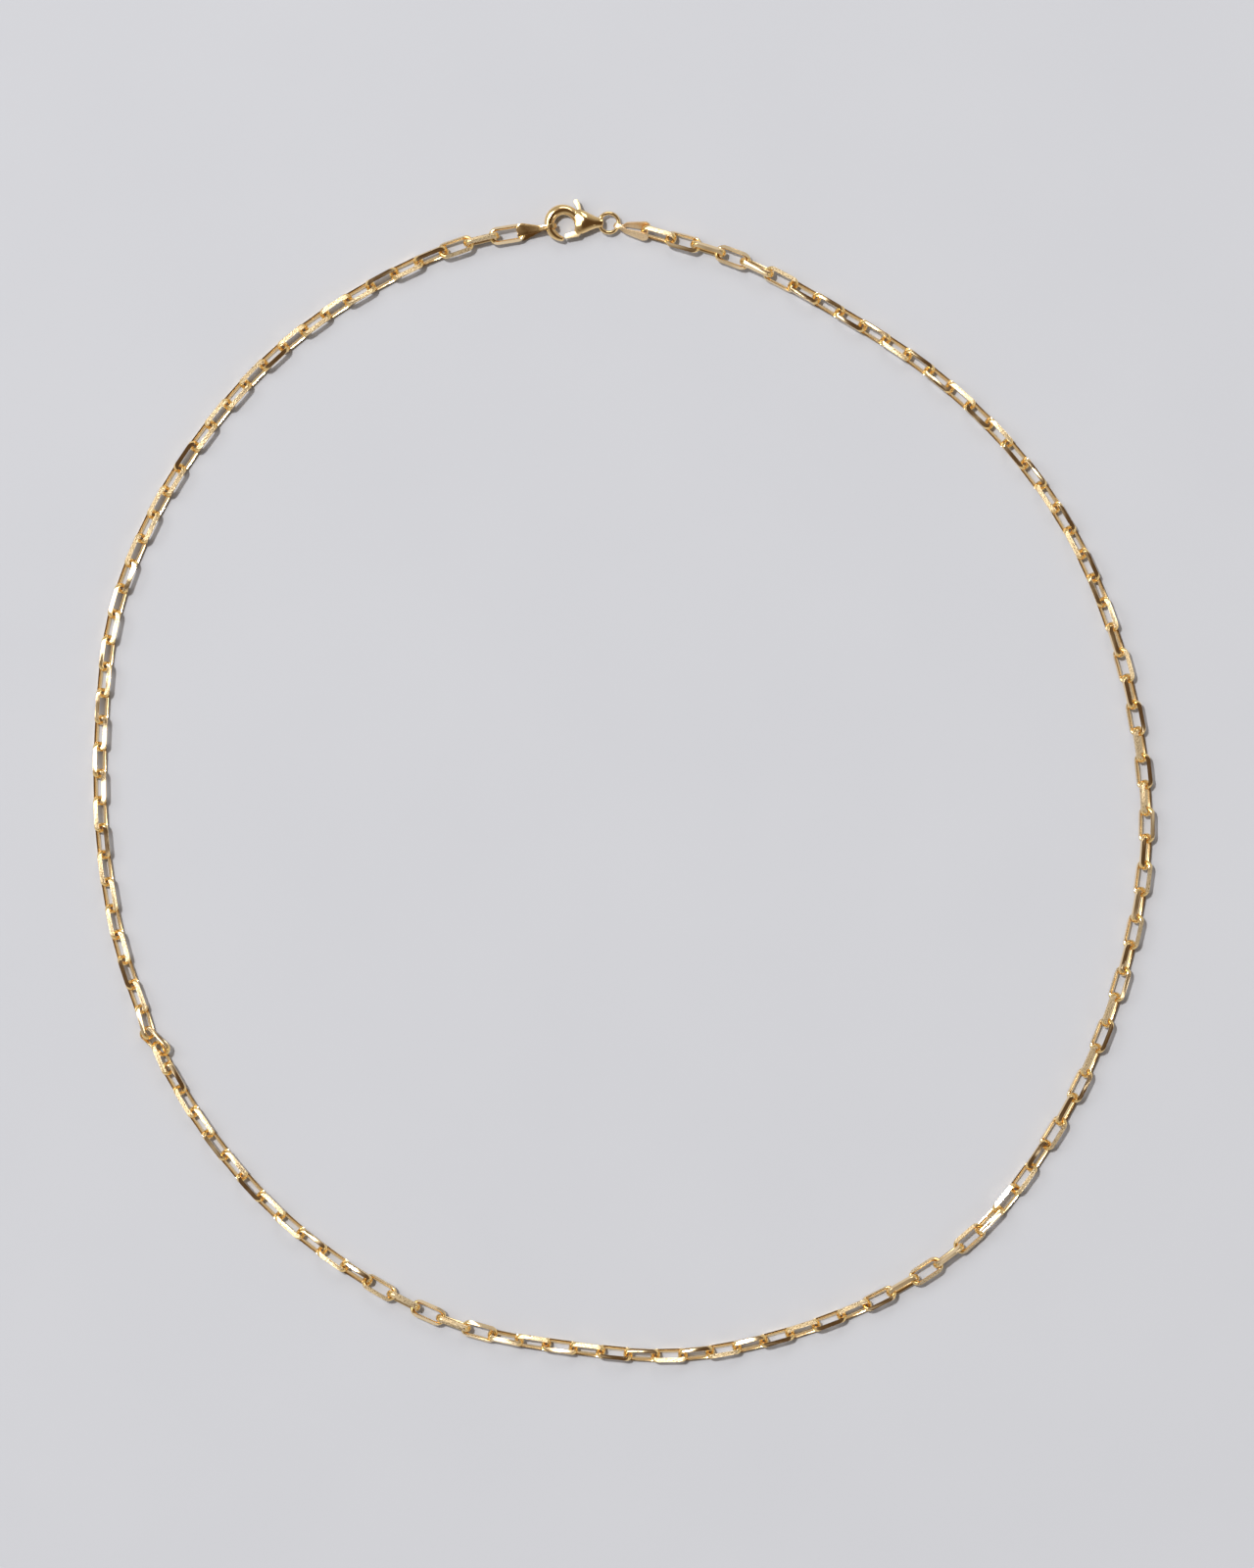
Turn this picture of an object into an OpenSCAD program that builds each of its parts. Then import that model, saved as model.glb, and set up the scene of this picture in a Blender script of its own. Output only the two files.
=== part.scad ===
// Fine oval link chain necklace with a lobster clasp, lying fastened in a wide loop.
// Seen from above, X runs to the right and Y towards the clasp. Z is up, from the surface it lies on.

/* [Link] */
// Length of a link over its ends
link_length = 4.88; // [4.4:0.02:5.4]
// Width of a link from ridge to ridge
link_width = 2.36; // [2:0.02:2.8]
// Wire thickness in the plane of the link
wire_wide = 0.49; // [0.4:0.01:0.7]
// Wire thickness square to that plane
wire_deep = 0.78; // [0.6:0.02:1]
// Bevel along the outer edges of the wire
wire_bevel = 0.16; // [0.05:0.01:0.2]
// Half the width of the wire's inner side
wire_inner = 0.2; // [0.1:0.01:0.3]

/* [Clasp] */
// Outer radius of the hook
hook_r = 2.42; // [2:0.02:3]
// Thickness of the hook
hook_deep = 1.24; // [1:0.02:1.6]
// Radius of the hook's hole
hole_r = 1.27; // [1:0.01:1.6]
// Greatest thickness of the clasp's body
body_deep = 2.1; // [1.6:0.05:2.6]
// Radius of the body at its shoulder
shoulder_r = 1.82; // [1.5:0.02:2.2]
// Radius of the body at its tail
tail_r = 0.6; // [0.5:0.01:0.8]
// Distance from the hook's centre to the tail's end
tail_x = 5.3; // [4.5:0.05:6]

/* [Lever] */
// Thickness of the lever
lever_deep = 0.7; // [0.5:0.02:0.9]
// Gap between the lever and each side of its slot
slot_gap = 0.06; // [0.03:0.01:0.12]
// Radius of the pin that the lever turns on
pin_r = 0.25; // [0.2:0.01:0.35]
// Gap around the pin in the lever's bore
pin_gap = 0.03; // [0.02:0.01:0.08]
// How far the lever opens, in degrees
lever_open = 25; // [15:1:30]

/* [Jump ring and end tags] */
// Outer diameter of the jump ring
ring_d = 3.04; // [2.4:0.02:4]
// Diameter of the jump ring's wire
ring_wire = 0.5; // [0.4:0.02:0.7]
// Slope of the jump ring, in degrees
ring_slope = 4; // [0:1:10]
// Thickness of the end tags' strap
strap = 0.24; // [0.15:0.01:0.35]
// Width of the strap where it is folded
strap_w = 0.6; // [0.4:0.02:0.9]

/* [Hidden] */
$fn = 48;
// Centre of the clasp's hook and of the jump ring.
clasp_at = [-7.9, 73.0, body_deep / 2];
lever_at = [2.25, -0.85];
ring_r = (ring_d - ring_wire) / 2;
ring_x = tail_x - 0.53;
// The thumb tab's end, and the same point with the lever open.
tab_at = [1.78, 2.72];
tab_r = 0.33;
function opened(p, a = lever_open) = let (d = p - lever_at)
    lever_at + [d[0] * cos(a) + d[1] * sin(a), d[1] * cos(a) - d[0] * sin(a)];
// Centre line of the chain, every fourth joint: x and y. It breaks off at the slack link.
run_a = [[3.0, 71.9], [15.9, 67.9], [28.3, 61.3], [40.0, 53.7], [50.2, 44.2], [58.4, 32.8],
    [63.9, 20.2], [67.3, 6.6], [68.4, -7.4], [66.3, -21.3], [61.9, -34.8], [55.3, -47.4],
    [46.6, -58.5], [35.0, -66.7], [21.8, -72.1], [7.8, -74.9], [-6.5, -74.0], [-20.5, -71.3],
    [-33.4, -65.2], [-44.8, -56.7], [-54.2, -46.0], [-61.3, -34.4]];
run_b = [[-61.9, -32.9], [-66.1, -20.0], [-68.2, -6.0], [-68.2, 8.1], [-66.5, 21.9],
    [-61.4, 34.9], [-53.9, 46.6], [-44.4, 56.8], [-33.0, 64.7], [-20.2, 70.4], [-6.6, 72.7]];
link_count = 123;
slack_link = 85;
// The kink: link, its centre's x, y and z, and its heading, slope and roll.
kink = [[84, -60.14, -36.08, 0.94, 114, -1, 48], [85, -61.19, -33.92, 1.0, 137, -8, -31],
    [86, -62.43, -31.34, 0.98, 105, -4, 47]];
// Stretches of the chain: first link, last link, roll of the even links, roll of the odd ones.
// The roll is 0 where a link lies flat and 90 where it stands on its side, outer side up.
stretches = [[1, 24, 45, -45], [25, 45, 30, -60], [46, 52, 45, -45], [53, 68, -45, 45],
    [69, 123, 45, -45]];
// Links that lie otherwise: link, roll.
turned = [[1, 54], [2, -23], [3, 80], [4, 4], [5, -73], [6, 29], [7, -50], [45, -50], [46, 42],
    [47, -36], [48, 64], [49, -13], [50, 89], [51, 11], [52, -68], [53, 33], [54, -46],
    [66, -40], [67, 60], [68, -18], [69, 84], [70, 3], [71, -77], [72, 25], [73, -54],
    [119, -44], [120, 57], [121, -20], [122, 84], [123, 4]];
end_z = 1.02;
straight = link_length - link_width;
bend_turns = [-90, -60, -20, 20, 60, 90];
chain_split = 61;

// A smooth curve through the points of a run, u counted in points.
function phantom(p) = concat([2 * p[0] - p[1]], p, [2 * p[len(p) - 1] - p[len(p) - 2]]);
function blend(a, b, c, d, t) =
    0.5 * (2 * b + (c - a) * t + (2 * a - 5 * b + 4 * c - d) * t * t
        + (3 * b - a - 3 * c + d) * t * t * t);
function spot(p, u) = let (q = phantom(p), i = min(floor(u), len(p) - 2))
    blend(q[i], q[i + 1], q[i + 2], q[i + 3], u - i);
function joint_xy(k) = k < slack_link ? spot(run_a, k / 4) : spot(run_b, (k - slack_link) / 4);

// How each link is rolled, and how high its axis lies then.
function own_roll(i) = [for (row = turned) if (row[0] == i) row[1]];
function stretch_of(i) = [for (row = stretches) if (i >= row[0] && i <= row[1]) row][0];
function roll_of(i) = len(own_roll(i)) > 0 ? own_roll(i)[0] : stretch_of(i)[2 + i % 2];
function half_height(roll) =
    max(link_width / 2 * abs(sin(roll)),
        (link_width - wire_deep) / 2 * abs(sin(roll)) + wire_deep / 2 * cos(roll));
function joint_z(k) = k == 0 || k == link_count ? end_z :
    max(half_height(roll_of(k)), half_height(roll_of(k + 1)));
function joint(k) = concat(joint_xy(k), [joint_z(k)]);

// Turns the X axis to run from a to b.
function heading(d) = atan2(d[1], d[0]);
function slope(d) = atan2(d[2], norm([d[0], d[1]]));
module reach(a, b, roll = 0) {
    translate(a) rotate([roll, -slope(b - a), heading(b - a)]) children();
}

// The wire's section at one turn of the bend, outwards from the link's middle: a ridge, two
// outer corners and two inner ones. The outer corners draw in to the flats along the sides.
function wire_section(turn) = let (r = link_width / 2, t = wire_deep / 2, i = r - wire_wide,
        o = min((r - t) / max(abs(sin(turn)), 0.01), r - wire_bevel))
    [[r, 0], [o, t], [i, wire_inner], [i, -wire_inner], [o, -t]];

// A link's corners in its own plane: the bend at each end, and straight sides between them.
link_points = [for (side = [1, -1]) for (turn = bend_turns) for (p = wire_section(turn))
    [side * (straight / 2 + p[0] * cos(turn)), side * p[0] * sin(turn), p[1]]];
link_faces = let (rows = 2 * len(bend_turns))
    [for (j = [0:rows - 1]) for (i = [0:4]) let (k = (j + 1) % rows, m = (i + 1) % 5)
        for (f = [[5 * j + i, 5 * j + m, 5 * k + m], [5 * j + i, 5 * k + m, 5 * k + i]]) f];

// A link's pose: its centre's x, y and z, and its heading, slope and roll.
function own_pose(i) = [for (row = kink) if (row[0] == i) [for (k = [1:6]) row[k]]];
function pose(i) = let (a = joint(i - 1), b = joint(i))
    len(own_pose(i)) > 0 ? own_pose(i)[0]
    : concat((a + b) / 2, [heading(b - a), slope(b - a), roll_of(i)]);
function rolled(p, a) = [p[0], p[1] * cos(a) - p[2] * sin(a), p[1] * sin(a) + p[2] * cos(a)];
function sloped(p, a) = [p[0] * cos(a) - p[2] * sin(a), p[1], p[0] * sin(a) + p[2] * cos(a)];
function headed(p, a) = [p[0] * cos(a) - p[1] * sin(a), p[0] * sin(a) + p[1] * cos(a), p[2]];
function placed(p, s) = [s[0], s[1], s[2]] + headed(sloped(rolled(p, s[5]), s[4]), s[3]);

// A stretch of loose links, each threaded through the next.
module links(first, last) {
    polyhedron(
        [for (i = [first:last]) let (s = pose(i)) for (p = link_points) placed(p, s)],
        [for (i = [0:last - first]) for (f = link_faces) [for (k = f) k + i * len(link_points)]]);
}

module chain_right() {
    color("gold") links(1, chain_split);
}

module chain_left() {
    color("gold") links(chain_split + 1, link_count);
}

// The clasp is drawn about its hook's centre, tail towards X, and moved to its place.
module on_clasp() {
    translate(clasp_at) children();
}

// The jump ring's centre line passes through the tail's eye.
module on_ring() {
    on_clasp() translate([ring_x, 0, 0]) rotate([0, ring_slope, 0]) translate([ring_r, 0, 0])
        children();
}

module hoop(r, wire) {
    rotate_extrude() translate([r, 0]) circle(wire);
}

// The body's radius falls from shoulder to tail along half a cosine wave.
body_x = 1.5;
function body_r(x) = tail_r + (shoulder_r - tail_r)
    * (1 + cos(180 * (x - body_x) / (tail_x - body_x))) / 2;

module pear() {
    steps = 12;
    points = [for (i = [0:steps]) let (x = body_x + (tail_x - body_x) * i / steps)
        [i == 0 ? body_r(x) - 0.16 : body_r(x), x]];
    translate([0, 0.22, 0]) rotate(-2.4) intersection() {
        rotate([0, 90, 0]) rotate_extrude()
            polygon(concat([[0, body_x]], points, [[0, tail_x]]));
        translate([0, -3, -body_deep / 2]) cube([tail_x + 1, 6, body_deep]);
    }
}

module hook_disc() {
    rim = hook_deep / 2;
    rotate_extrude() {
        translate([hook_r - rim, 0]) circle(rim);
        translate([0.5, -rim]) square([hook_r - rim - 0.5, hook_deep]);
    }
}

// A hole with its two edges eased.
module eased_hole(r) {
    ease = 0.22;
    cylinder(r = r, h = 4, center = true);
    for (side = [0, 180]) {
        rotate([side, 0, 0]) translate([0, 0, hook_deep / 2 - ease])
            cylinder(r1 = r, r2 = r + 2 * ease, h = 2 * ease);
    }
}

module clasp_body() {
    color("goldenrod") on_clasp() difference() {
        union() {
            difference() {
                hook_disc();
                translate([0.15, -0.22, 0]) eased_hole(hole_r);
                translate([0.35, -0.5, 0]) eased_hole(hole_r);
            }
            pear();
        }
        // The mouth, as wide as the gate sweeps.
        intersection() {
            translate([lever_at[0], lever_at[1], -2]) cylinder(r = 2.36, h = 4);
            translate([-1, -3, -2]) cube([2.75, 2.1, 4]);
        }
        // The slot that the lever turns in.
        slot_end = opened(tab_at)[0] + tab_r + 0.29;
        translate([0, 0, -lever_deep / 2 - slot_gap]) linear_extrude(lever_deep + 2 * slot_gap)
            polygon([[1, -2.7], [2.95, -2.7], [2.95, -1.2], [slot_end, 1.9], [slot_end, 2.8],
                [1.68, 2.8], [1.68, -0.6], [1, -0.6]]);
        translate([lever_at[0], lever_at[1], 0]) cylinder(r = pin_r, h = 1.44, center = true);
        // The tail's eye follows the jump ring.
        translate([ring_x, 0, 0]) rotate([0, ring_slope, 0]) translate([ring_r, 0, 0])
            hoop(ring_r, ring_wire / 2 + 0.06);
    }
}

module clasp_lever() {
    color("khaki") on_clasp() difference() {
        translate([0, 0, -lever_deep / 2]) linear_extrude(lever_deep) {
            polygon([[0.3, -1.5], [0.34, -2.1], [2.1, -1.8], [2.74, -1.25], [2.68, -0.3],
                [2.5, 1.2], [2.4, 2.1], [2.02, 2.95], [1.52, 2.5], [1.86, 1.9], [1.9, 1.2],
                [1.76, -0.3], [1.74, -1.15], [1.45, -1.12]]);
            translate(tab_at) circle(tab_r);
        }
        translate([lever_at[0], lever_at[1], 0])
            cylinder(r = pin_r + pin_gap, h = 2, center = true);
    }
}

module clasp_pin() {
    color("goldenrod") on_clasp() translate([lever_at[0], lever_at[1], 0])
        cylinder(r = pin_r, h = 1.44, center = true);
}

module jump_ring() {
    color("gold") on_ring() hoop(ring_r, ring_wire / 2);
}

// One leaf of an end tag, from its root to its rounded end.
module leaf(long, root_w, end_w) {
    linear_extrude(strap, center = true) {
        polygon([[0, -root_w / 2], [long - end_w / 2, -end_w / 2],
            [long - end_w / 2, end_w / 2], [0, root_w / 2]]);
        translate([long - end_w / 2, 0]) circle(end_w / 2);
    }
}

// A strap folded round a wire at a, with a leaf each side of the link that ends at b.
// turn sets the fold square to its wire, bite is the inside height of the fold.
module end_tag(a, b, roll, turn, bite, deep, end_w, splay) {
    long = norm(b - a) + 0.46;
    root = 1.1;
    between = wire_deep + 0.22 + strap;
    translate(a) {
        rotate([0, 0, heading(b - a) + turn]) {
            translate([-deep, 0, 0]) rotate([90, 0, 0]) rotate(90)
                translate([0, 0, -strap_w / 2]) rotate_extrude(angle = 180)
                translate([bite / 2, 0]) square([strap, strap_w]);
            for (side = [-1, 1]) {
                translate([-deep, -strap_w / 2, side * (bite + strap) / 2 - strap / 2])
                    cube([deep + 0.35, strap_w, strap]);
            }
        }
    }
    for (side = [-1, 1]) {
        hull() {
            translate(a) rotate([0, 0, heading(b - a) + turn])
                translate([0.25, -strap_w / 2, side * (bite + strap) / 2 - strap / 2])
                cube([0.1, strap_w, strap]);
            reach(a, b, roll) translate([root, 0, side * between / 2]) rotate(-side * splay)
                cube([0.1, strap_w + 0.1, strap], center = true);
        }
        reach(a, b, roll) translate([root, 0, side * between / 2]) rotate(-side * splay)
            leaf(long - root, strap_w + 0.1, end_w);
    }
    // The post that holds the link between the leaves.
    reach(a, b, roll) translate([norm(b - a) + 0.14, 0, 0])
        cylinder(r = 0.18, h = between, center = true);
}

// Where the straps turn round the jump ring and the hook.
ring_turn = 20;
ring_grip = clasp_at + [ring_x + ring_r * (1 + cos(ring_turn)), -ring_r * sin(ring_turn),
    -ring_r * (1 + cos(ring_turn)) * sin(ring_slope)];
hook_turn = 17;
hook_grip = clasp_at + 1.8 * [-cos(hook_turn), -sin(hook_turn), 0];

module end_tag_right() {
    color("palegoldenrod") end_tag(ring_grip, joint(0), 48, -12, 0.7, 0, 1.35, 9);
}

module end_tag_left() {
    color("palegoldenrod") end_tag(hook_grip, joint(link_count), -4, 0, 1.38, 0.3, 1.6, 8);
}

chain_right();
chain_left();
clasp_body();
clasp_lever();
clasp_pin();
jump_ring();
end_tag_right();
end_tag_left();
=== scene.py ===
from math import atan2, cos, degrees, hypot, pi, radians, sin, sqrt

import bmesh
import bpy
from mathutils import Matrix, Vector


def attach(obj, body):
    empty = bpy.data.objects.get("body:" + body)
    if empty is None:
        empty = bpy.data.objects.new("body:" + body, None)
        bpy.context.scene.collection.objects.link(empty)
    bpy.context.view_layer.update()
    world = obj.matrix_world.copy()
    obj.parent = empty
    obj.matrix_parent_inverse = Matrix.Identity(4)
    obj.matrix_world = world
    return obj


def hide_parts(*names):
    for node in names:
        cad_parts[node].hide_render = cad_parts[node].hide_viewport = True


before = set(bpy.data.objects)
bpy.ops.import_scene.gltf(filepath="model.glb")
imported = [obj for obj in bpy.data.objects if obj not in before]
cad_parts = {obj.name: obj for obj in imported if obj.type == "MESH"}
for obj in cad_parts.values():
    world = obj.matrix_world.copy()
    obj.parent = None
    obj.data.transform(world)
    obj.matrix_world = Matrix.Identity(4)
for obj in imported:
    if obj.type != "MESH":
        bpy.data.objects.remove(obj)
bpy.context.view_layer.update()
MM = 0.001


def make_camera(away=1.0, middle=(0.5, -0.3), chain_top=1.2, view_height=204.8):
    """The camera looks straight down. away is in metres, the rest in millimetres: view_height
    is what the picture takes in from top to bottom, at chain_top above the floor."""
    data = bpy.data.cameras.new("camera")
    data.lens = data.sensor_width * (away - chain_top * MM) / (view_height * MM)
    data.clip_start, data.clip_end = 0.01, 20
    cam = bpy.data.objects.new("camera", data)
    cam.location = (middle[0] * MM, middle[1] * MM, away)
    bpy.context.scene.collection.objects.link(cam)
    bpy.context.scene.camera = cam


make_camera()


# Shader tools.
def new_group(name, inputs, outputs):
    tree = bpy.data.node_groups.new(name, "ShaderNodeTree")
    for label, kind in inputs:
        tree.interface.new_socket(name=label, in_out="INPUT", socket_type=kind)
    for label, kind in outputs:
        tree.interface.new_socket(name=label, in_out="OUTPUT", socket_type=kind)
    return tree, tree.nodes.new("NodeGroupInput"), tree.nodes.new("NodeGroupOutput")


def add(tree, kind, **values):
    """A node with its settings; keys that name an input set that socket."""
    node = tree.nodes.new(kind)
    for key, value in values.items():
        if key in node.inputs:
            node.inputs[key].default_value = value
        else:
            setattr(node, key, value)
    return node


def join(tree, source, target):
    tree.links.new(source, target)


def blend(tree, share, first, second):
    """A colour that runs from first to second with share. Each is a colour or a socket."""
    mix = add(tree, "ShaderNodeMix", data_type="RGBA")
    join(tree, share, mix.inputs["Factor"])
    for colour, target in ((first, mix.inputs[6]), (second, mix.inputs[7])):
        if isinstance(colour, bpy.types.NodeSocket):
            join(tree, colour, target)
        else:
            target.default_value = (*colour, 1)
    return mix.outputs[2]


def effect(tree, group, vector, **values):
    """One of the shared effects below, placed in a material with its own values."""
    node = add(tree, "ShaderNodeGroup", node_tree=group)
    for label, value in values.items():
        node.inputs[label].default_value = value
    join(tree, vector, node.inputs["Vector"])
    return node


def cut_grain_group():
    """The torn, glittering grain of a rough cut: fine specks, and short streaks along X."""
    tree, start, end = new_group(
        "cut_grain",
        [("Vector", "NodeSocketVector"), ("Scale", "NodeSocketFloat"),
         ("Streak", "NodeSocketFloat")],
        [("Height", "NodeSocketFloat"), ("Specks", "NodeSocketFloat")])
    specks = add(tree, "ShaderNodeTexNoise", Detail=2.0, Roughness=0.6)
    squash = add(tree, "ShaderNodeCombineXYZ", Y=1.0, Z=1.0)
    stretched = add(tree, "ShaderNodeVectorMath", operation="MULTIPLY")
    streaks = add(tree, "ShaderNodeTexNoise", Detail=1.0)
    both = add(tree, "ShaderNodeMix", data_type="FLOAT", Factor=0.45)
    sharp = add(tree, "ShaderNodeMapRange", interpolation_type="SMOOTHSTEP")
    sharp.inputs["From Min"].default_value = 0.5
    sharp.inputs["From Max"].default_value = 0.64
    join(tree, start.outputs["Vector"], specks.inputs["Vector"])
    join(tree, start.outputs["Scale"], specks.inputs["Scale"])
    join(tree, start.outputs["Streak"], squash.inputs["X"])
    join(tree, start.outputs["Vector"], stretched.inputs[0])
    join(tree, squash.outputs[0], stretched.inputs[1])
    join(tree, stretched.outputs[0], streaks.inputs["Vector"])
    join(tree, start.outputs["Scale"], streaks.inputs["Scale"])
    join(tree, specks.outputs[0], both.inputs[2])
    join(tree, streaks.outputs[0], both.inputs[3])
    join(tree, both.outputs[0], end.inputs["Height"])
    join(tree, specks.outputs[0], sharp.inputs["Value"])
    join(tree, sharp.outputs[0], end.inputs["Specks"])
    return tree


def handling_group():
    """Faint smears and dulled patches on the gold, as a roughness and a colour."""
    tree, start, end = new_group(
        "handling",
        [("Vector", "NodeSocketVector"), ("Scale", "NodeSocketFloat"),
         ("Bright", "NodeSocketColor"), ("Deep", "NodeSocketColor"),
         ("Polished", "NodeSocketFloat"), ("Dull", "NodeSocketFloat")],
        [("Color", "NodeSocketColor"), ("Roughness", "NodeSocketFloat")])
    cloud = add(tree, "ShaderNodeTexNoise", Detail=3.0, Roughness=0.55)
    rough = add(tree, "ShaderNodeMapRange")
    rough.inputs["From Min"].default_value = 0.3
    rough.inputs["From Max"].default_value = 0.7
    join(tree, start.outputs["Vector"], cloud.inputs["Vector"])
    join(tree, start.outputs["Scale"], cloud.inputs["Scale"])
    colour = blend(tree, cloud.outputs[0], start.outputs["Bright"], start.outputs["Deep"])
    join(tree, colour, end.inputs["Color"])
    join(tree, cloud.outputs[0], rough.inputs["Value"])
    join(tree, start.outputs["Polished"], rough.inputs["To Min"])
    join(tree, start.outputs["Dull"], rough.inputs["To Max"])
    join(tree, rough.outputs[0], end.inputs["Roughness"])
    return tree


def slow_wave_group():
    """The slow unevenness of hand-finished metal, as a height."""
    tree, start, end = new_group(
        "slow_wave", [("Vector", "NodeSocketVector"), ("Scale", "NodeSocketFloat")],
        [("Height", "NodeSocketFloat")])
    swell = add(tree, "ShaderNodeTexNoise", Detail=1.0, Roughness=0.3)
    join(tree, start.outputs["Vector"], swell.inputs["Vector"])
    join(tree, start.outputs["Scale"], swell.inputs["Scale"])
    join(tree, swell.outputs[0], end.inputs["Height"])
    return tree


CUT_GRAIN = cut_grain_group()
HANDLING = handling_group()
SLOW_WAVE = slow_wave_group()


def gold(name, bright, deep, polished, dull, grain, depth, streak=0.35, coords="UV",
         wave=0.0, wave_scale=0.3, bend=None, pits=None):
    """A gold finish. Coordinates are in millimetres: the link's own UV map, or the object's.
    The colour clouds between bright and deep, and the roughness between polished and dull.
    grain is how fine the cut's grain is, and depth how high it stands in millimetres, as wave
    does for the slow wave under it. bend is the colour of a painted glow round a link's
    ends, the warm orange of light bouncing between the interlocked links, and pits the colour of
    the specks that a rough finish is full of."""
    mat = bpy.data.materials.new(name)
    mat.use_nodes = True
    tree = mat.node_tree
    shader = tree.nodes["Principled BSDF"]
    shader.inputs["Metallic"].default_value = 1.0
    place = tree.nodes.new("ShaderNodeTexCoord")
    scaled = add(tree, "ShaderNodeVectorMath", operation="SCALE",
                 Scale=1.0 if coords == "UV" else 1 / MM)
    join(tree, place.outputs[coords], scaled.inputs[0])
    vector = scaled.outputs[0]
    wear = effect(tree, HANDLING, vector, Scale=0.5, Bright=(*bright, 1), Deep=(*deep, 1),
                  Polished=polished, Dull=dull)
    cut = effect(tree, CUT_GRAIN, vector, Scale=grain, Streak=streak)
    colour = wear.outputs["Color"]
    if pits:
        colour = blend(tree, cut.outputs["Specks"], colour, pits)
    # Painted glow: a warmer orange laid over the wire round each link's ends, standing in for
    # light bouncing between the interlocked links.
    if bend:
        painted_glow_share = add(tree, "ShaderNodeAttribute", attribute_name="bend")
        colour = blend(tree, painted_glow_share.outputs["Fac"], colour, bend)
    join(tree, colour, shader.inputs["Base Color"])
    join(tree, wear.outputs["Roughness"], shader.inputs["Roughness"])
    bump = add(tree, "ShaderNodeBump", Strength=1.0, Distance=depth * MM)
    join(tree, cut.outputs["Height"], bump.inputs["Height"])
    if wave:
        slow = effect(tree, SLOW_WAVE, vector, Scale=wave_scale)
        under = add(tree, "ShaderNodeBump", Strength=1.0, Distance=wave * MM)
        join(tree, slow.outputs["Height"], under.inputs["Height"])
        join(tree, under.outputs[0], bump.inputs["Normal"])
    join(tree, bump.outputs[0], shader.inputs["Normal"])
    return mat


# The polished wire gets a painted glow round the link ends: warm orange for the light bouncing
# between interlocked links.
WIRE_GOLD = gold("polished_wire", (1.0, 0.82, 0.5), (0.98, 0.68, 0.34), polished=0.1,
                 dull=0.24, grain=7, depth=0.01, bend=(1.0, 0.69, 0.26))
CUT_GOLD = gold("mirror_cut", (1.0, 0.83, 0.54), (0.99, 0.71, 0.39), polished=0.08,
                dull=0.2, grain=7, depth=0.008, streak=0.2, wave=0.5, wave_scale=0.25)
FROST_GOLD = gold("rough_cut", (0.93, 0.78, 0.52), (0.82, 0.63, 0.36), polished=0.42,
                  dull=0.58, grain=5, depth=0.07, streak=0.6, pits=(0.34, 0.21, 0.09))
CLASP_GOLD = gold("polished_cast", (1.0, 0.75, 0.38), (0.98, 0.66, 0.29), polished=0.07,
                  dull=0.13, grain=3, depth=0.002, coords="Object")
GATE_GOLD = gold("brushed_plate", (0.9, 0.76, 0.5), (0.82, 0.63, 0.36), polished=0.4,
                 dull=0.55, grain=8, depth=0.015, streak=0.15, coords="Object",
                 pits=(0.8, 0.62, 0.36))
TAG_GOLD = gold("frosted_sheet", (1.0, 0.79, 0.5), (0.96, 0.69, 0.39), polished=0.32,
                dull=0.46, grain=9, depth=0.02, streak=0.8, coords="Object",
                pits=(0.75, 0.52, 0.28))
BRIGHT_TAG_GOLD = gold("mottled_sheet", (0.95, 0.7, 0.36), (0.82, 0.55, 0.24), polished=0.12,
                       dull=0.26, grain=6, depth=0.012, streak=0.7, coords="Object",
                       pits=(0.7, 0.46, 0.19))


# Mesh tools. Everything is drawn in millimetres, and piece() brings it to metres.
def new_verts(made):
    """The vertices among what a bmesh operator has made."""
    return [v for v in made if isinstance(v, bmesh.types.BMVert)]


def sharpen(bm, angle=28):
    """Smooth shading, with a crease where two faces meet at more than the angle."""
    for face in bm.faces:
        face.smooth = True
    for edge in bm.edges:
        edge.smooth = len(edge.link_faces) == 2 and edge.calc_face_angle(0) < radians(angle)


def put(name, bm):
    """Puts a finished mesh into the scene as an object."""
    mesh = bpy.data.meshes.new(name)
    bm.to_mesh(mesh)
    bm.free()
    obj = bpy.data.objects.new(name, mesh)
    bpy.context.scene.collection.objects.link(obj)
    return obj


def piece(name, bm, materials, body, node):
    """A visible piece: it rides on a body and takes the place of a node of the frame."""
    bmesh.ops.scale(bm, vec=(MM, MM, MM), verts=bm.verts)
    obj = put(name, bm)
    for mat in materials:
        obj.data.materials.append(mat)
    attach(obj, body)
    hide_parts(node)


def wire_section(half_wide, half_deep, at, segments=16):
    """A new mesh with an oval section that stands across the wire, which runs along X here."""
    bm = bmesh.new()
    bmesh.ops.create_circle(bm, segments=segments, radius=1)
    bmesh.ops.rotate(bm, verts=bm.verts, matrix=Matrix.Rotation(pi / 2, 3, "Y"))
    bmesh.ops.scale(bm, vec=(1, half_wide, half_deep), verts=bm.verts)
    bmesh.ops.translate(bm, vec=at, verts=bm.verts)
    return bm


# A link, and its wire after and before the flats are cut. The two flats of a side meet at
# RIDGE from the middle line.
LINK_LONG, LINK_WIDE, WIRE_DEEP = 4.88, 2.36, 0.78
ROUND_WIDE, ROUND_DEEP = 0.55, 0.84
RIDGE = LINK_WIDE / 2 - 0.005
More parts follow.
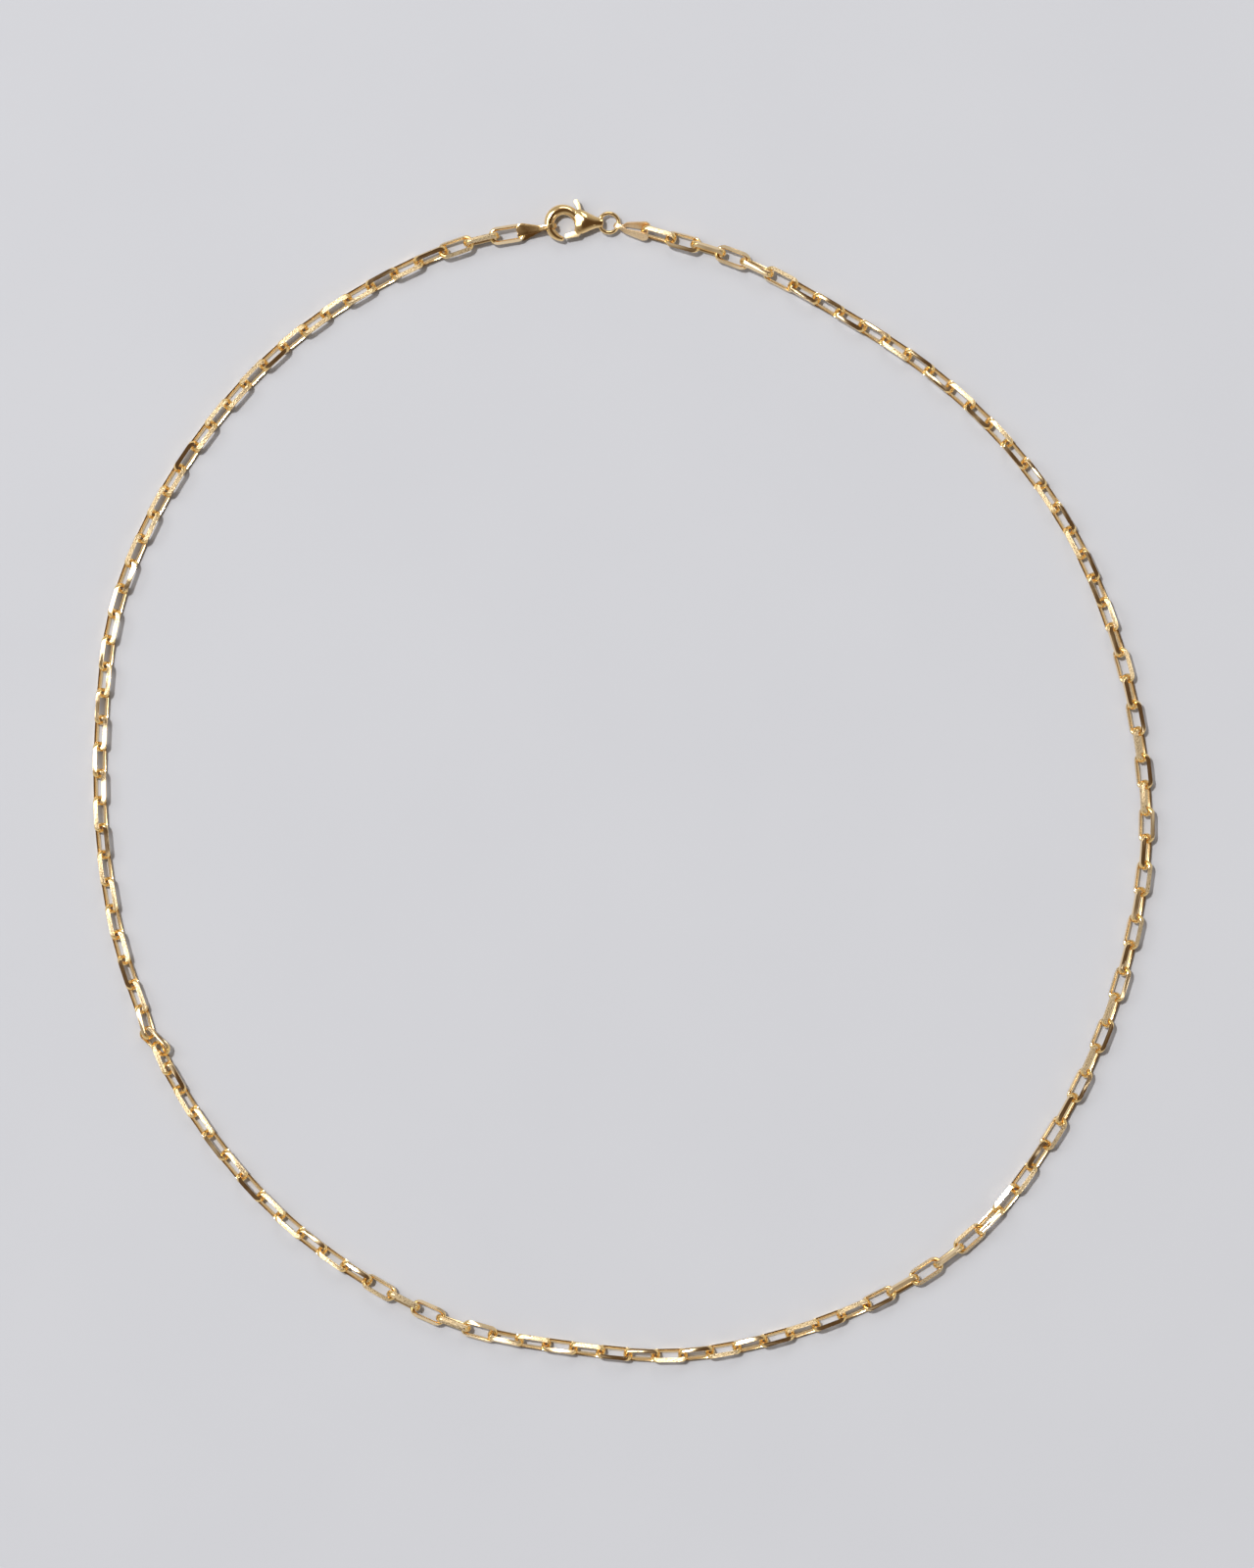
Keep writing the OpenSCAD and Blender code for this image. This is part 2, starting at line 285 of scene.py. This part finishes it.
# Every fourth joint from the jump ring round to the tangle, and from joint RUN_B_FROM on.
RUN_A = [(3.0, 71.9), (15.9, 67.9), (28.3, 61.3), (40.0, 53.7), (50.2, 44.2), (58.4, 32.8),
         (63.9, 20.2), (67.3, 6.6), (68.4, -7.4), (66.3, -21.3), (61.9, -34.8), (55.3, -47.4),
         (46.6, -58.5), (35.0, -66.7), (21.8, -72.1), (7.8, -74.9), (-6.5, -74.0),
         (-20.5, -71.3), (-33.4, -65.2), (-44.8, -56.7), (-54.2, -46.0), (-61.3, -34.4)]
RUN_B = [(-61.9, -32.9), (-66.1, -20.0), (-68.2, -6.0), (-68.2, 8.1), (-66.5, 21.9),
         (-61.4, 34.9), (-53.9, 46.6), (-44.4, 56.8), (-33.0, 64.7), (-20.2, 70.4), (-6.6, 72.7)]
RUN_B_FROM = 85
# The last link, the last one of the right half, and how high the chain's two ends lie.
LINKS, SPLIT, END_Z = 123, 61, 1.02
# The links of the tangle: middle, heading, slope and roll.
KINK = {84: (-60.14, -36.08, 0.94, 114, -1, 48), 85: (-61.19, -33.92, 1.0, 137, -8, -31),
        86: (-62.43, -31.34, 0.98, 105, -4, 47)}
# The first and last link of a stretch, and the rolls of its even and its odd links.
STRETCHES = [(1, 24, 45, -45), (25, 45, 30, -60), (46, 52, 45, -45), (53, 68, -45, 45),
             (69, 123, 45, -45)]
# Links that have a roll of their own.
TURNED = {1: 54, 2: -23, 3: 80, 4: 4, 5: -73, 6: 29, 7: -50, 45: -50, 46: 42, 47: -36, 48: 64,
          49: -13, 50: 89, 51: 11, 52: -68, 53: 33, 54: -46, 66: -40, 67: 60, 68: -18, 69: 84,
          70: 3, 71: -77, 72: 25, 73: -54, 119: -44, 120: 57, 121: -20, 122: 84, 123: 4}


def along(run, u):
    """The point u on a smooth curve through the points of a run."""
    pts = [Vector(p) for p in run]
    pts = [2 * pts[0] - pts[1], *pts, 2 * pts[-1] - pts[-2]]
    i = min(int(u + 1e-9), len(run) - 2)
    a, b, c, d = pts[i:i + 4]
    t = u - i
    return 0.5 * (2 * b + (c - a) * t + (2 * a - 5 * b + 4 * c - d) * t * t
                  + (3 * b - a - 3 * c + d) * t ** 3)


def roll_of(i):
    if i in TURNED:
        return TURNED[i]
    return next(row[2 + i % 2] for row in STRETCHES if row[0] <= i <= row[1])


def half_height(roll):
    """How high the middle of a link lies above the floor when it is rolled so."""
    s, c = abs(sin(radians(roll))), cos(radians(roll))
    return max(LINK_WIDE / 2 * s, (LINK_WIDE - WIRE_DEEP) / 2 * s + WIRE_DEEP / 2 * c)


def joint(k):
    """Where link k ends and the next one starts."""
    x, y = along(RUN_A, k / 4) if k < RUN_B_FROM else along(RUN_B, (k - RUN_B_FROM) / 4)
    if k in (0, LINKS):
        return Vector((x, y, END_Z))
    return Vector((x, y, max(half_height(roll_of(k)), half_height(roll_of(k + 1)))))


def turned(heading, slope, roll):
    return (Matrix.Rotation(radians(heading), 4, "Z") @ Matrix.Rotation(-radians(slope), 4, "Y")
            @ Matrix.Rotation(radians(roll), 4, "X"))


def reach(a, b, roll):
    """The frame that starts at a, has its X axis towards b, and is rolled about it."""
    d = b - a
    return Matrix.Translation(a) @ turned(degrees(atan2(d.y, d.x)),
                                          degrees(atan2(d.z, hypot(d.x, d.y))), roll)


def link_place(i):
    if i in KINK:
        x, y, z, *turns = KINK[i]
        return Matrix.Translation((x, y, z)) @ turned(*turns)
    a, b = joint(i - 1), joint(i)
    return Matrix.Translation((b - a) / 2) @ reach(a, b, roll_of(i))


def ease(t):
    """Runs softly from 0 to 1 as t does."""
    t = min(max(t, 0), 1)
    return t * t * (3 - 2 * t)


# The cut of an upper flat that leans neither way, which both flats of the far side have too,
# and the cut of the flat under the upper one.
EVEN_CUT, UNDER_CUT = 45, 40
# Links whose upper flat leans outwards or inwards, and catches the light or the dark.
LEANING = {86: 33, 95: 57, 96: 33, 97: 57, 98: 39, 99: 52, 100: 36, 101: 52, 102: 33, 103: 52}
# The upper flats of the other links take these in turn. From DULL_FROM on, every one leans
# away from the sun.
SPREAD = (42, 47, 39, 50, 44, 36, 52)
DULL_FROM = 104
# How many of five facets are rough cuts, up to each link.
ROUGH_SHARE = [(12, 1), (68, 2), (85, 3), (86, 0), (94, 4), (97, 0), (103, 1), (116, 4),
               (LINKS, 3)]


def cut_angle(i):
    """The angle of a link's upper flat, in degrees."""
    if i in LEANING:
        return LEANING[i]
    angle = SPREAD[(i * 5 + i // 9) % len(SPREAD)]
    if i < DULL_FROM:
        return angle
    away = abs(angle - EVEN_CUT) + 3
    return EVEN_CUT + away if i % 2 == 0 else EVEN_CUT - away


def cut_link(top_cut):
    """One oval link of round wire, with two flats cut along the outside of each long side.
    The upper flat of the side at +Y is cut at its own angle."""
    straight = (LINK_LONG - LINK_WIDE) / 2
    middle = (LINK_WIDE - ROUND_WIDE) / 2
    bm = wire_section(ROUND_WIDE / 2, ROUND_DEEP / 2, (straight, -middle, 0))
    bmesh.ops.spin(bm, geom=bm.edges[:], cent=(straight, 0, 0), axis=(0, 0, 1), angle=pi,
                   steps=12)
    open_edges = [e for e in bm.edges if e.is_boundary]
    sides = bmesh.ops.extrude_edge_only(bm, edges=open_edges)["geom"]
    bmesh.ops.translate(bm, vec=(-straight, 0, 0), verts=new_verts(sides))
    bmesh.ops.mirror(bm, geom=bm.faces[:] + bm.edges[:] + bm.verts[:], axis="X",
                     merge_dist=1e-4)
    bmesh.ops.recalc_face_normals(bm, faces=bm.faces)
    for side in (1, -1):
        for up in (1, -1):
            lean = radians(EVEN_CUT if side < 0 else top_cut if up > 0 else UNDER_CUT)
            across = Vector((0, side * cos(lean), up * sin(lean)))
            bmesh.ops.bisect_plane(bm, geom=bm.faces[:] + bm.edges[:] + bm.verts[:],
                                   plane_co=(0, side * RIDGE, 0), plane_no=across,
                                   dist=1e-5, clear_outer=True)
            rim = [e for e in bm.edges if e.is_boundary]
            for face in bmesh.ops.holes_fill(bm, edges=rim, sides=0)["faces"]:
                face.material_index = 1
    bmesh.ops.recalc_face_normals(bm, faces=bm.faces)
    sharpen(bm)
    # The painted glow of light bouncing between the interlocked links comes in over the first 0.9
    # mm of each curved end.
    bend = bm.verts.layers.float.new("bend")
    for v in bm.verts:
        v[bend] = ease((abs(v.co.x) - straight) / 0.9)
    # The finish's own coordinates: along the link, and across whichever way the face looks.
    grain = bm.loops.layers.uv.new("UVMap")
    for face in bm.faces:
        for loop in face.loops:
            p = loop.vert.co
            loop[grain].uv = (p.x, p.y * face.normal.z - p.z * face.normal.y + p.y * 0.5)
    mesh = bpy.data.meshes.new("cut_link")
    bm.to_mesh(mesh)
    bm.free()
    return mesh


def chain(name, first, last, node, templates):
    """The links from first to last, each in its place with its own mix of cuts."""
    bm = bmesh.new()
    half_turn = Matrix.Rotation(pi, 4, "Z")
    for i in range(first, last + 1):
        verts, faces = len(bm.verts), len(bm.faces)
        bm.from_mesh(templates[cut_angle(i)])
        bm.verts.ensure_lookup_table()
        bm.faces.ensure_lookup_table()
        # The side that has the flat with its own angle goes on top.
        place = link_place(i)
        upper_side = place @ Vector((0, 1, 0)) - place.translation
        if upper_side.z < 0:
            place = place @ half_turn
        bmesh.ops.transform(bm, matrix=place, verts=bm.verts[verts:])
        # Each link takes another part of the grain.
        grain = bm.loops.layers.uv.active
        shift = Vector((7.31 * (i % 11), 3.17 * (i % 7)))
        rough = next(share for last_link, share in ROUGH_SHARE if i <= last_link)
        for face in bm.faces[faces:]:
            for loop in face.loops:
                loop[grain].uv += shift
            if face.material_index == 1 and (i * 7 + 3 * (face.normal.z > 0.3)) % 5 < rough:
                face.material_index = 2
    piece(name, bm, [WIRE_GOLD, CUT_GOLD, FROST_GOLD], "necklace", node)


link_meshes = {cut: cut_link(cut) for cut in {cut_angle(i) for i in range(1, LINKS + 1)}}
chain("chain_of_links_right", 1, SPLIT, "chain_right", link_meshes)
chain("chain_of_links_left", SPLIT + 1, LINKS, "chain_left", link_meshes)
for mesh in link_meshes.values():
    bpy.data.meshes.remove(mesh)


# The clasp is drawn round the middle of its hook, with its tail along X, and moved to
# CLASP_AT at the end. The hook's opening is two round holes run together.
CLASP_AT = Vector((-7.9, 73.0, 1.05))
HINGE = Vector((2.25, -0.85, 0))
HOOK_R, HOOK_DEEP, TAIL_X = 2.42, 1.24, 5.3
HOLES = [(Vector((0.15, -0.22)), 1.27), (Vector((0.35, -0.5)), 1.27)]
# Where the ring's wire runs through the tail, and the ring itself.
EYE_X = TAIL_X - 0.53
RING_R, RING_WIRE, RING_SLOPE = 1.27, 0.25, 4
# The tags' sheet, and how far apart the middles of their leaves are, with a link between.
STRAP, STRAP_WIDE = 0.24, 0.6
BETWEEN_LEAVES = WIRE_DEEP + 0.22 + STRAP


def worked(obj, tools=()):
    """Applies the object's modifiers, removes it and its tools, and gives the result."""
    bpy.context.view_layer.update()
    seen = obj.evaluated_get(bpy.context.evaluated_depsgraph_get())
    bm = bmesh.new()
    bm.from_mesh(seen.to_mesh())
    seen.to_mesh_clear()
    for used in (obj, *tools):
        mesh = used.data
        bpy.data.objects.remove(used)
        bpy.data.meshes.remove(mesh)
    return bm


def cut_away(bm, *tools, operation="DIFFERENCE"):
    """Takes the tools out of a mesh, or, with INTERSECT, leaves only what they share."""
    blank = put("blank", bm)
    cutters = [put("cutter", tool) for tool in tools]
    for cutter in cutters:
        cut = blank.modifiers.new("cut", "BOOLEAN")
        cut.operation, cut.solver, cut.object = operation, "EXACT", cutter
    return worked(blank, cutters)


def fused(bm, voxel, rounds):
    """Runs everything into one closed skin, and smooths it."""
    blank = put("blank", bm)
    fuse = blank.modifiers.new("fuse", "REMESH")
    fuse.mode, fuse.voxel_size = "VOXEL", voxel
    melt = blank.modifiers.new("melt", "SMOOTH")
    melt.factor, melt.iterations = 0.5, rounds
    return worked(blank)


def drill(at, radius, deep, segments=64):
    bm = bmesh.new()
    bmesh.ops.create_cone(bm, cap_ends=True, segments=segments, radius1=radius, radius2=radius,
                          depth=deep)
    bmesh.ops.translate(bm, vec=at, verts=bm.verts)
    return bm


def plate(points, half_thick):
    """A flat plate with the given outline, at half height."""
    bm = bmesh.new()
    face = bm.faces.new([bm.verts.new((x, y, -half_thick)) for x, y in points])
    top = bmesh.ops.extrude_face_region(bm, geom=[face])["geom"]
    bmesh.ops.translate(bm, vec=(0, 0, 2 * half_thick), verts=new_verts(top))
    bmesh.ops.recalc_face_normals(bm, faces=bm.faces)
    return bm


def torus(radius, wire, at, around=96, segments=20):
    bm = wire_section(wire, wire, (0, -radius, 0), segments)
    bmesh.ops.spin(bm, geom=bm.edges[:], cent=(0, 0, 0), axis=(0, 0, 1), angle=2 * pi,
                   steps=around, use_merge=True)
    bmesh.ops.recalc_face_normals(bm, faces=bm.faces)
    bmesh.ops.transform(bm, matrix=at, verts=bm.verts)
    return bm


def hole_edge(turn):
    """How far from the hook's centre its hole reaches, in one direction."""
    way = Vector((cos(turn), sin(turn)))
    return max(c.dot(way) + sqrt(r * r - (c - way * c.dot(way)).length_squared)
               for c, r in HOLES)


def hook():
    """The hook's wire, swept round its hole and drawn down towards the tip."""
    first, last, tip = radians(-28), radians(277), radians(10)
    sweep = 2
    bm = wire_section(1, 1, (0, -sweep, 0), 24)
    bmesh.ops.rotate(bm, verts=bm.verts, matrix=Matrix.Rotation(first + pi / 2, 3, "Z"))
    bmesh.ops.spin(bm, geom=bm.edges[:], cent=(0, 0, 0), axis=(0, 0, 1), angle=last - first,
                   steps=90)
    for v in bm.verts:
        turn = (atan2(v.co.y, v.co.x) + radians(60)) % (2 * pi) - radians(60)
        inner = hole_edge(turn)
        thin = ease((turn - radians(215)) / radians(60))
        swell = ease((radians(100) - turn) / radians(100))
        middle, half = (HOOK_R + inner) / 2, (HOOK_R - inner) / 2
        deep = HOOK_DEEP / 2 * (1 - 0.2 * thin + 0.12 * swell)
        round_off = sqrt(max(1 - (max(turn - last + tip, 0) / tip) ** 2, 0.01))
        r = middle + (hypot(v.co.x, v.co.y) - sweep) * half * round_off
        v.co = (r * cos(turn), r * sin(turn), v.co.z * deep * round_off)
    bmesh.ops.holes_fill(bm, edges=[e for e in bm.edges if e.is_boundary], sides=0)
    return bm


# How high the body stands for its half width, from the shoulder to the tail.
PUFF = [(1.5, 0.34), (2.0, 0.46), (2.5, 0.6), (2.9, 0.7), (3.4, 0.8), (4.0, 0.92), (4.7, 1.0),
        (5.3, 1.0)]


def level(table, x):
    """A value read from a table, evenly between its rows."""
    for (x0, y0), (x1, y1) in zip(table, table[1:]):
        if x <= x1:
            return y0 + (y1 - y0) * max(x - x0, 0) / (x1 - x0)
    return table[-1][1]


def add_pear(bm):
    """Adds the puffed body, from its broad shoulder to the tail."""
    start, shoulder, tail, steps = 1.5, 1.82, 0.6, 18
    old = set(bm.verts)
    rows = [(start, 0), (start, shoulder - 0.3)]
    for i in range(1, steps + 1):
        x = start + (TAIL_X - start) * i / steps
        fall = 1 + cos(pi * (x - start) / (TAIL_X - start))
        rows.append((x, tail + (shoulder - tail) * fall / 2))
    rows.append((TAIL_X, 0))
    verts = [bm.verts.new((x, r, 0)) for x, r in rows]
    edges = [bm.edges.new(pair) for pair in zip(verts, verts[1:])]
    bmesh.ops.spin(bm, geom=edges, cent=(0, 0, 0), axis=(1, 0, 0), angle=2 * pi, steps=64,
                   use_merge=True)
    bmesh.ops.remove_doubles(bm, verts=[v for v in bm.verts if v not in old], dist=1e-4)
    made = [v for v in bm.verts if v not in old]
    for v in made:
        around = hypot(v.co.y, v.co.z)
        if around > 0:
            # A fuller section than a round one: broad and nearly flat on top.
            up = v.co.z / around
            v.co.z = around * abs(up) ** 0.72 * (1 if up > 0 else -1) * level(PUFF, v.co.x)
    # The tail points a little to the side of the hook's middle.
    bmesh.ops.rotate(bm, verts=made, matrix=Matrix.Rotation(radians(-2.4), 3, "Z"))
    bmesh.ops.translate(bm, verts=made, vec=(0, 0.22, 0))


def ring_place():
    """The jump ring's middle, in the clasp's frame: its wire runs through the tail's eye."""
    return (Matrix.Translation((EYE_X, 0, 0)) @ Matrix.Rotation(radians(RING_SLOPE), 4, "Y")
            @ Matrix.Translation((RING_R, 0, 0)))


def cast_body():
    bm = hook()
    add_pear(bm)
    bmesh.ops.recalc_face_normals(bm, faces=bm.faces)
    # The gate's end swings through the mouth, and the lever through the slot.
    mouth = cut_away(drill(HINGE, 2.34, 4, 96),
                     plate([(-1, -3), (2.02, -3), (2.02, -1.74), (1.5, -0.97), (-1, -0.97)], 2.2),
                     operation="INTERSECT")
    slot = plate([(1, -2.7), (2.0, -2.7), (2.12, -1.9), (2.72, -1.22), (3.95, 1.9), (3.95, 2.8),
                  (1.68, 2.8), (1.68, -0.6), (1, -0.6)], 0.41)
    eye = torus(RING_R, RING_WIRE + 0.05, ring_place(), 64, 16)
    bm = cut_away(fused(bm, 0.05, 22), mouth, *[drill((*c, 0), r - 0.03, 4) for c, r in HOLES])
    bm = cut_away(fused(bm, 0.045, 7), slot, eye)
    # The cuts leave slivers along their edges.
    bmesh.ops.triangulate(bm, faces=bm.faces)
    bmesh.ops.dissolve_degenerate(bm, dist=0.004, edges=bm.edges)
    bmesh.ops.remove_doubles(bm, verts=bm.verts, dist=0.003)
    stray = [f for f in bm.faces if sum(len(e.link_faces) == 1 for e in f.edges) > 1]
    bmesh.ops.delete(bm, geom=stray, context="FACES")
    bmesh.ops.translate(bm, vec=CLASP_AT, verts=bm.verts)
    sharpen(bm, 38)
    piece("clasp_body_cast", bm, [CLASP_GOLD], "necklace", "clasp_body")


def gate_lever():
    """The lever's plate: the gate from the hook's tip to the hinge, then the arm, and the
    round thumb tab at its end."""
    outline = [(0.3, -1.5), (0.34, -2.1), (2.1, -1.8), (2.62, -1.2), (2.64, -0.3), (2.5, 1.2),
               (2.4, 2.1), (2.11, 2.75)]
    outline += [(1.78 + 0.33 * cos(radians(a)), 2.72 + 0.33 * sin(radians(a)))
                for a in range(5, 216, 21)]
    outline += [(1.86, 1.9), (1.9, 1.2), (1.76, -0.3), (1.74, -1.15), (1.45, -1.12)]
    bm = plate(outline, 0.35)
    rims = [e for e in bm.edges if abs(e.verts[0].co.z - e.verts[1].co.z) < 1e-4]
    bmesh.ops.bevel(bm, geom=rims, offset=0.05, affect="EDGES", segments=2, profile=0.5,
                    material=-1)
    bm = cut_away(bm, drill(HINGE, 0.28, 2, 32))
    bmesh.ops.translate(bm, vec=CLASP_AT, verts=bm.verts)
    sharpen(bm, 32)
    piece("gate_lever", bm, [GATE_GOLD], "lever", "clasp_lever")


def jump_ring():
    bm = torus(RING_R, RING_WIRE, Matrix.Translation(CLASP_AT) @ ring_place())
    sharpen(bm)
    piece("round_jump_ring", bm, [CLASP_GOLD], "necklace", "jump_ring")


def ribbon(rows):
    """A sheet without thickness that runs through rows of points."""
    bm = bmesh.new()
    line = [bm.verts.new(p) for p in rows[0]]
    edges = [bm.edges.new(pair) for pair in zip(line, line[1:])]
    for row in rows[1:]:
        made = bmesh.ops.extrude_edge_only(bm, edges=edges)["geom"]
        fresh = new_verts(made)
        behind = {v: next(e.other_vert(v) for e in v.link_edges
                          if e.other_vert(v) not in fresh) for v in fresh}
        line = [next(v for v in fresh if behind[v] is old) for old in line]
        for v, spot in zip(line, row):
            v.co = spot
        edges = [e for e in made if isinstance(e, bmesh.types.BMEdge)
                 and all(v in fresh for v in e.verts)]
    bmesh.ops.recalc_face_normals(bm, faces=bm.faces)
    return bm


def folded_tag(name, node, finish, a, b, roll, turn, bite, deep, end_wide, splay):
    """A strap folded round a wire at a, widening to a round-ended leaf each side of a link at
    b. bite is the room inside the fold, deep how far the fold starts behind a, and splay how
    far each leaf turns aside."""
    way = b - a
    root = 1.1
    leaf_base = STRAP_WIDE + 0.1
    span = way.length + 0.46 - root - end_wide / 2
    lean = reach(a, b, roll)
    fold = Matrix.Translation(a) @ Matrix.Rotation(
        atan2(way.y, way.x) + radians(turn), 4, "Z")
    height = (bite + STRAP) / 2
    rows = []
    for side in (1, -1):
        leaf = (lean @ Matrix.Translation((root, 0, side * BETWEEN_LEAVES / 2))
                @ Matrix.Rotation(radians(-side * splay), 4, "Z"))
        half = []
        for k in range(7):
            t = radians(84 - 14 * k)
            half.append((leaf, (span + end_wide / 2 * sin(t), 0, 0), end_wide / 2 * cos(t)))
        for k in range(1, 6):
            t = 1 - k / 6
            half.append((leaf, (span * t, 0, 0), (leaf_base + (end_wide - leaf_base) * t) / 2))
        half.append((leaf, (0, 0, 0), leaf_base / 2))
        half.append((fold, (0.32, 0, side * height), STRAP_WIDE / 2))
        for k in range(6):
            t = radians(90 * k / 6)
            half.append((fold, (-deep - height * sin(t), 0, side * height * cos(t)),
                         STRAP_WIDE / 2))
        rows += half if side == 1 else half[::-1]
        if side == 1:
            rows.append((fold, (-deep - height, 0, 0), STRAP_WIDE / 2))
    across = (-1, -0.5, 0, 0.5, 1)
    sheet = put("sheet", ribbon([[m @ Vector((x, half_wide * s, z)) for s in across]
                                 for m, (x, y, z), half_wide in rows]))
    wall = sheet.modifiers.new("wall", "SOLIDIFY")
    wall.thickness, wall.offset, wall.use_even_offset = STRAP, 0, True
    rim = sheet.modifiers.new("rim", "BEVEL")
    rim.width, rim.segments, rim.limit_method, rim.angle_limit = 0.05, 2, "ANGLE", radians(50)
    bm = worked(sheet)
    rivet = lean @ Matrix.Translation((way.length + 0.14, 0, 0))
    bmesh.ops.create_cone(bm, cap_ends=True, segments=24, radius1=0.18, radius2=0.18,
                          depth=BETWEEN_LEAVES, matrix=rivet)
    sharpen(bm, 35)
    piece(name, bm, [finish], "necklace", node)


def ring_grip(turn=radians(20)):
    """Where the right tag holds the jump ring, a little round from the ring's far side."""
    out = RING_R * (1 + cos(turn))
    return CLASP_AT + Vector((EYE_X + out, -RING_R * sin(turn), -out * sin(radians(RING_SLOPE))))


def hook_grip(turn=radians(17), out=1.8):
    """Where the left tag holds the hook's wire."""
    return CLASP_AT + out * Vector((-cos(turn), -sin(turn), 0))


cast_body()
gate_lever()
jump_ring()
folded_tag("folded_tag_right", "end_tag_right", TAG_GOLD, ring_grip(), joint(0), roll=48,
           turn=-12, bite=0.7, deep=0, end_wide=1.35, splay=9)
folded_tag("folded_tag_left", "end_tag_left", BRIGHT_TAG_GOLD, hook_grip(), joint(LINKS),
           roll=-4, turn=0, bite=1.38, deep=0.05, end_wide=1.6, splay=8)
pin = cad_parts["clasp_pin"].data
pin.materials.clear()
pin.materials.append(CLASP_GOLD)


# Floor and light. Lengths are in metres from here on.
def make_floor(half_size=4, drop=0.00001):
    """A sheet of pale paper, a hair below the height of the floor."""
    bm = bmesh.new()
    bmesh.ops.create_grid(bm, x_segments=1, y_segments=1, size=half_size)
    bmesh.ops.translate(bm, vec=(0, 0, -drop), verts=bm.verts)
    floor = put("floor", bm)
    mat = bpy.data.materials.new("pale_paper")
    mat.use_nodes = True
    tree = mat.node_tree
    shader = tree.nodes["Principled BSDF"]
    shader.inputs["Roughness"].default_value = 0.9
    shader.inputs["Specular IOR Level"].default_value = 0.1
    place = tree.nodes.new("ShaderNodeTexCoord")
    cloud = add(tree, "ShaderNodeTexNoise", Scale=35.0, Detail=4.0)
    join(tree, place.outputs["Object"], cloud.inputs["Vector"])
    tone = blend(tree, cloud.outputs[0], (0.434, 0.446, 0.48), (0.454, 0.466, 0.499))
    join(tree, tone, shader.inputs["Base Color"])
    floor.data.materials.append(mat)


def lamp(name, kind, power, at, **settings):
    """A lamp that shines from a place in the room towards the middle of the loop."""
    data = bpy.data.lights.new(name, kind)
    data.energy = power
    for key, value in settings.items():
        setattr(data, key, value)
    obj = bpy.data.objects.new(name, data)
    obj.location = at
    obj.rotation_euler = (-Vector(at)).to_track_quat("-Z", "Y").to_euler()
    bpy.context.scene.collection.objects.link(obj)


def make_light():
    """A pale room that is darkest overhead, as the gold mirrors it, with a sun and three soft
    panels."""
    world = bpy.data.worlds.new("room")
    bpy.context.scene.world = world
    world.use_nodes = True
    tree = world.node_tree
    back = tree.nodes["Background"]
    place = tree.nodes.new("ShaderNodeTexCoord")
    overhead = add(tree, "ShaderNodeVectorMath", operation="DOT_PRODUCT")
    overhead.inputs[1].default_value = Vector((0.2, -0.16, 1)).normalized()
    ramp = tree.nodes.new("ShaderNodeValToRGB")
    stops = ramp.color_ramp.elements
    stops[0].position, stops[0].color = 0.0, (0.3, 0.29, 0.285, 1)
    stops[1].position, stops[1].color = 1.0, (0.09, 0.056, 0.032, 1)
    for position, tone in ((0.2, (0.52, 0.51, 0.515)), (0.4, (0.5, 0.49, 0.49)),
                           (0.6, (0.37, 0.35, 0.335)), (0.8, (0.23, 0.195, 0.16)),
                           (0.91, (0.1, 0.066, 0.04))):
        stops.new(position).color = (*tone, 1)
    join(tree, place.outputs["Generated"], overhead.inputs[0])
    join(tree, overhead.outputs["Value"], ramp.inputs[0])
    join(tree, ramp.outputs[0], back.inputs["Color"])
    back.inputs["Strength"].default_value = 1.0
    lamp("sun", "SUN", 2.75, (-0.33, 0.3, 1.0), color=(1.0, 0.985, 0.96), angle=radians(4))
    lamp("soft_box", "AREA", 6.0, (-0.78, 0.35, 0.95), size=0.85)
    lamp("upper_panel", "AREA", 2.6, (0.1, 0.95, 0.85), size=0.55)
    lamp("fill_panel", "AREA", 0.8, (0.9, -0.6, 0.8), size=0.4)


make_floor()
make_light()
bpy.context.scene.view_settings.view_transform = "Standard"
